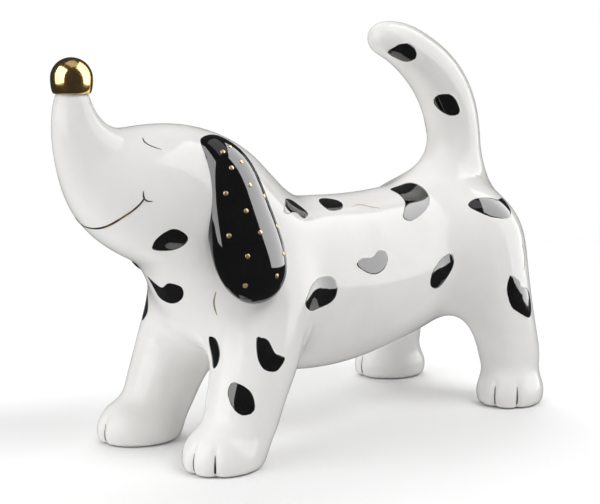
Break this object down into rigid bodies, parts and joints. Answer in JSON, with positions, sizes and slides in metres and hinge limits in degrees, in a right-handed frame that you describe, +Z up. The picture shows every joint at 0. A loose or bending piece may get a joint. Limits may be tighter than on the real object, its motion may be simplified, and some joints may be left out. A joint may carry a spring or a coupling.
{
  "type": "ceramic dog figurine",
  "caption": "Glazed porcelain puppy figurine with upturned snout, gold nose, drooping black ears, raised curled tail and painted spots.",
  "frame": {"origin": "middle of the object's outline in plan, at the level of the four soles", "axes": "+Z up, the dog faces -Y, its left side is +X"},
  "size_m": [0.0838, 0.1892, 0.1357],
  "materials": {
    "white_glaze": "high-gloss transparent glaze over white porcelain, with overglaze enamel spots and thin gold strokes",
    "black_glaze": "high-gloss black glaze with small gold lustre dots",
    "gold_lustre": "mirror-bright gold lustre fired over glaze"
  },
  "bodies": {
    "root": {"torso_shell": "white_glaze", "head_shell": "white_glaze", "tail_shell": "white_glaze", "front_left_leg": "white_glaze", "front_right_leg": "white_glaze", "rear_left_leg": "white_glaze", "rear_right_leg": "white_glaze", "ear_left": "black_glaze", "ear_right": "black_glaze", "nose": "gold_lustre"}
  },
  "joints": []
}
